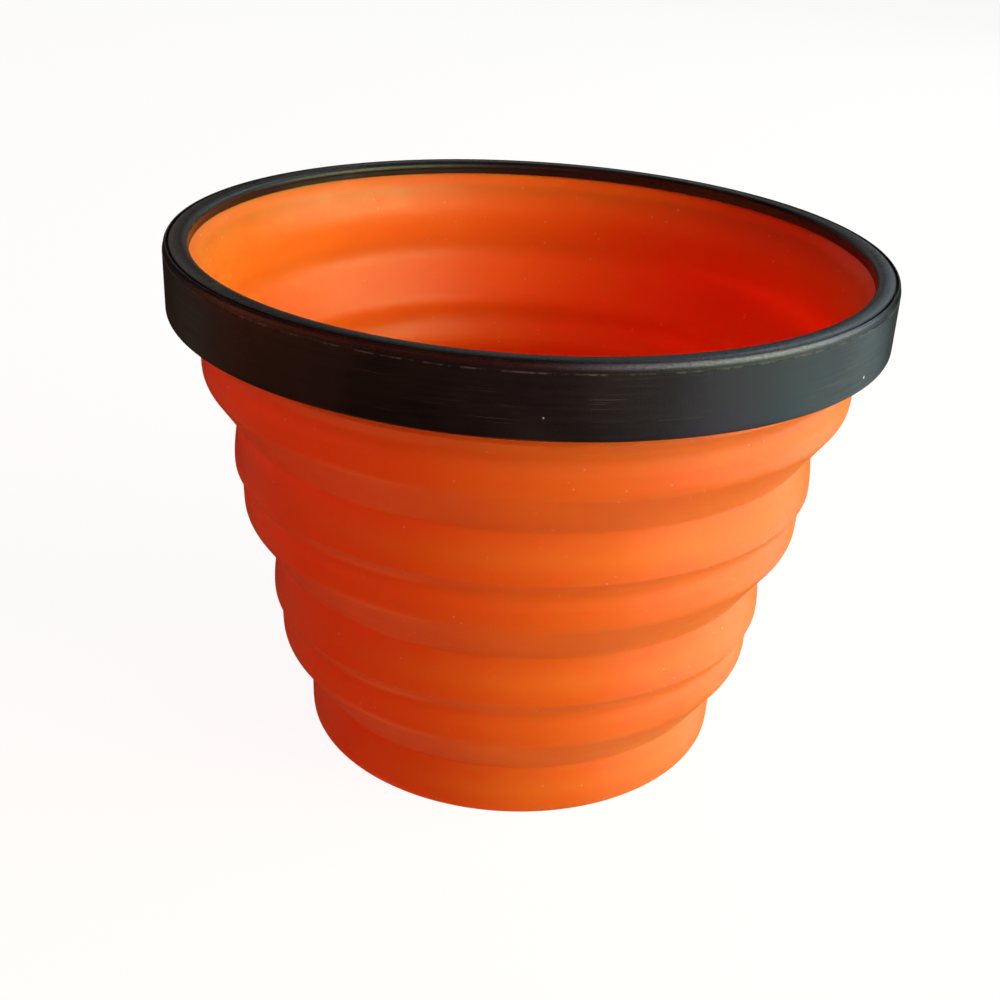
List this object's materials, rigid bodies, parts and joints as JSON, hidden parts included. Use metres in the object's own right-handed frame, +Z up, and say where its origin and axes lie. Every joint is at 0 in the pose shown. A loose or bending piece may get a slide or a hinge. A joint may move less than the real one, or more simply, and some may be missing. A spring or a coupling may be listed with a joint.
{
  "type": "collapsible travel cup",
  "caption": "Stepped silicone travel cup with a stiff nylon rim. The fold webs between its wall rings turn inside out, so the cup telescopes into a flat disc.",
  "frame": {"origin": "centre of the base's underside, on the plane that the cup stands on", "axes": "+Z up along the cup's axis, from the base to the rim; +X and +Y are free, because every piece is turned about Z"},
  "size_m": [0.098, 0.098, 0.0722],
  "materials": {
    "silicone": "matte moulded silicone, slightly translucent",
    "rim_nylon": "satin moulded nylon"
  },
  "bodies": {
    "base": {"base_cup": "silicone", "fold_web_bottom": "silicone"},
    "lower_ring": {"wall_ring_lower": "silicone", "fold_web_middle": "silicone"},
    "upper_ring": {"wall_ring_upper": "silicone", "fold_web_top": "silicone"},
    "rim": {"collar": "silicone", "rim_band": "rim_nylon", "rim_lip": "rim_nylon"}
  },
  "joints": [
    {"name": "bottom_fold", "type": "slide", "parent": "base", "child": "lower_ring", "axis": [0, 0, -1], "range_m": [0, 0.0179], "deforming": ["fold_web_bottom"]},
    {"name": "middle_fold", "type": "slide", "parent": "lower_ring", "child": "upper_ring", "axis": [0, 0, -1], "range_m": [0, 0.02025], "deforming": ["fold_web_middle"]},
    {"name": "top_fold", "type": "slide", "parent": "upper_ring", "child": "rim", "axis": [0, 0, -1], "range_m": [0, 0.02025], "deforming": ["fold_web_top"]}
  ]
}
